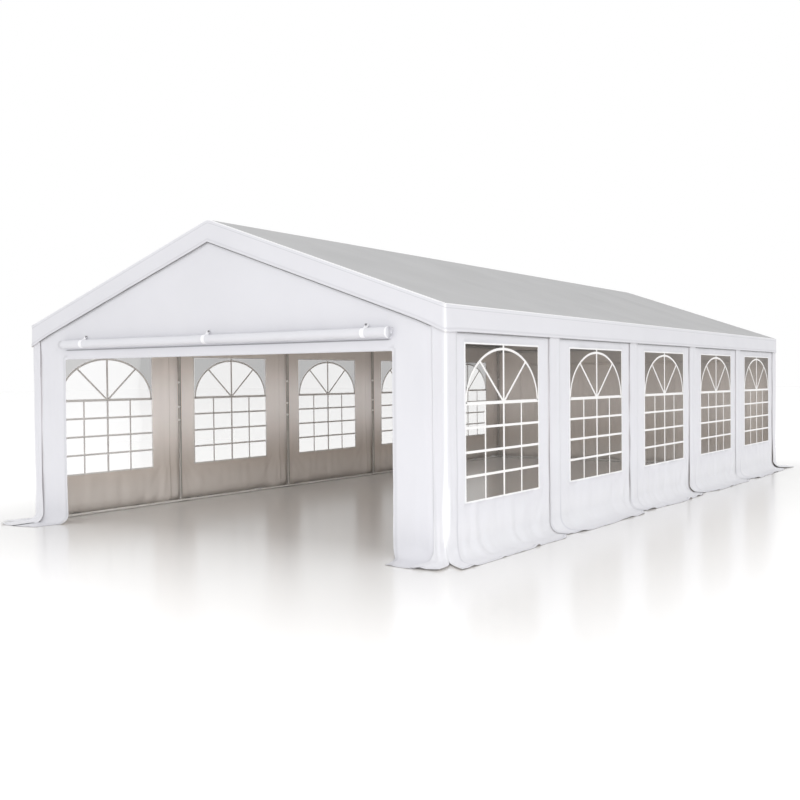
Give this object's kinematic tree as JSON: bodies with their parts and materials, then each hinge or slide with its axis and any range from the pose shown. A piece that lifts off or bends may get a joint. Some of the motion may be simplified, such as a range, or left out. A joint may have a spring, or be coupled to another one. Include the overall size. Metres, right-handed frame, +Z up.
{
  "type": "marquee tent",
  "caption": "Long white marquee tent with a pitched roof cover, side walls with clear windows, a rolled-up gable door and a tubular steel frame.",
  "frame": {"origin": "centre of the tent's footprint, on the ground", "axes": "+Y from the open front gable to the back gable, along the ridge; +X to the right seen from the front; +Z up"},
  "size_m": [5.404, 10.568, 2.862],
  "materials": {
    "white_pvc": "white coated PVC tarpaulin, softly glossy",
    "roof_pvc": "pale grey-white coated PVC tarpaulin",
    "clear_film": "clear flexible PVC film, slightly hazy",
    "coated_steel": "white powder-coated steel tube"
  },
  "bodies": {
    "root": {"back_door_panel": "white_pvc", "back_gable_wall": "white_pvc", "eave_rail_left": "coated_steel", "eave_rail_right": "coated_steel", "front_door_roll": "white_pvc", "front_gable_wall": "white_pvc", "gable_tie_back": "coated_steel", "gable_tie_front": "coated_steel", "ground_rail_back": "coated_steel", "ground_rail_left": "coated_steel", "ground_rail_right": "coated_steel", "leg_left_1": "coated_steel", "leg_left_2": "coated_steel", "leg_left_3": "coated_steel", "leg_left_4": "coated_steel", "leg_left_5": "coated_steel", "leg_left_6": "coated_steel", "leg_right_1": "coated_steel", "leg_right_2": "coated_steel", "leg_right_3": "coated_steel", "leg_right_4": "coated_steel", "leg_right_5": "coated_steel", "leg_right_6": "coated_steel", "rafter_left_1": "coated_steel", "rafter_left_2": "coated_steel", "rafter_left_3": "coated_steel", "rafter_left_4": "coated_steel", "rafter_left_5": "coated_steel", "rafter_left_6": "coated_steel", "rafter_right_1": "coated_steel", "rafter_right_2": "coated_steel", "rafter_right_3": "coated_steel", "rafter_right_4": "coated_steel", "rafter_right_5": "coated_steel", "rafter_right_6": "coated_steel", "ridge_rail": "coated_steel", "roof_cover": "roof_pvc", "side_wall_left_1": "white_pvc", "side_wall_left_2": "white_pvc", "side_wall_left_3": "white_pvc", "side_wall_left_4": "white_pvc", "side_wall_left_5": "white_pvc", "side_wall_right_1": "white_pvc", "side_wall_right_2": "white_pvc", "side_wall_right_3": "white_pvc", "side_wall_right_4": "white_pvc", "side_wall_right_5": "white_pvc", "window_film_left_1": "clear_film", "window_film_left_2": "clear_film", "window_film_left_3": "clear_film", "window_film_left_4": "clear_film", "window_film_left_5": "clear_film", "window_film_right_1": "clear_film", "window_film_right_2": "clear_film", "window_film_right_3": "clear_film", "window_film_right_4": "clear_film", "window_film_right_5": "clear_film"}
  },
  "joints": []
}
